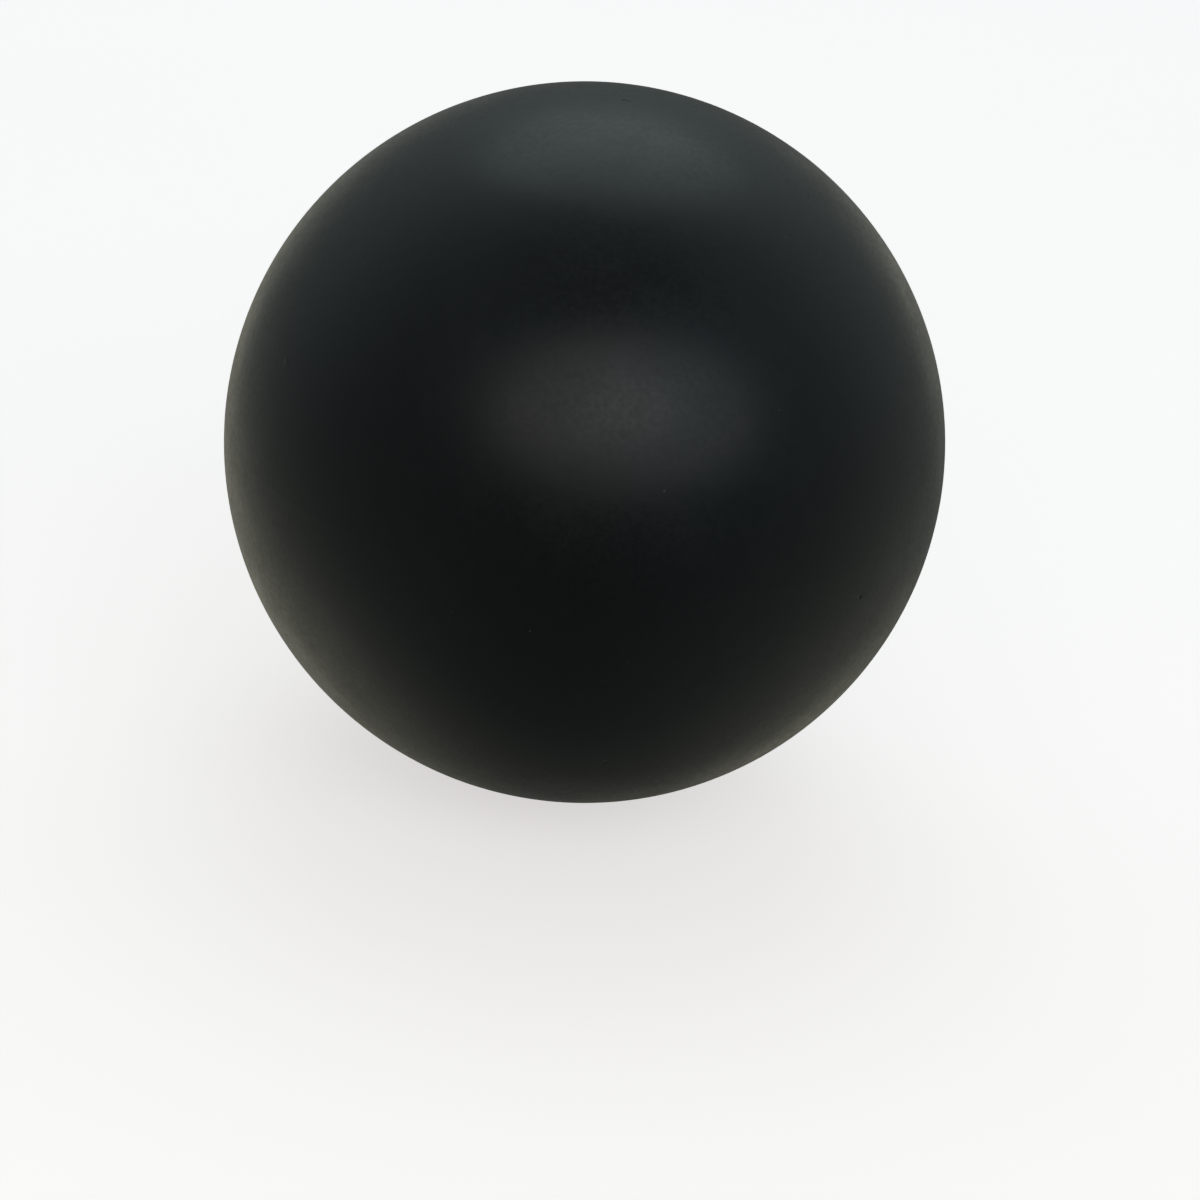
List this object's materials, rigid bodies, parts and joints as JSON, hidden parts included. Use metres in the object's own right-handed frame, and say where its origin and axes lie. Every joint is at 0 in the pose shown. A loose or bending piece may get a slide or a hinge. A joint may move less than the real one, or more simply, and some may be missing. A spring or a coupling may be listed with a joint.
{
  "type": "case opening friction ball",
  "caption": "Hollow inflatable black rubber ball with a needle valve, pressed and turned on a screwed watch case back to grip and unscrew it.",
  "frame": {"origin": "centre of the ball", "axes": "+Z along the valve axis, out through the needle hole; X and Y are interchangeable and lie in the seam plane"},
  "size_m": [0.065, 0.065, 0.065],
  "materials": {
    "friction_rubber": "satin black, tacky moulded skin",
    "rubber_cement": "matt black vulcanised cement",
    "housing_rubber": "matt brown black moulded rubber",
    "plug_rubber": "satin soft rubber, silicone oiled"
  },
  "bodies": {
    "root": {"upper_shell": "friction_rubber", "lower_shell": "friction_rubber", "seam_bond_ring": "rubber_cement", "valve_housing": "housing_rubber", "flange_bond_ring": "rubber_cement", "valve_plug": "plug_rubber"}
  },
  "joints": []
}
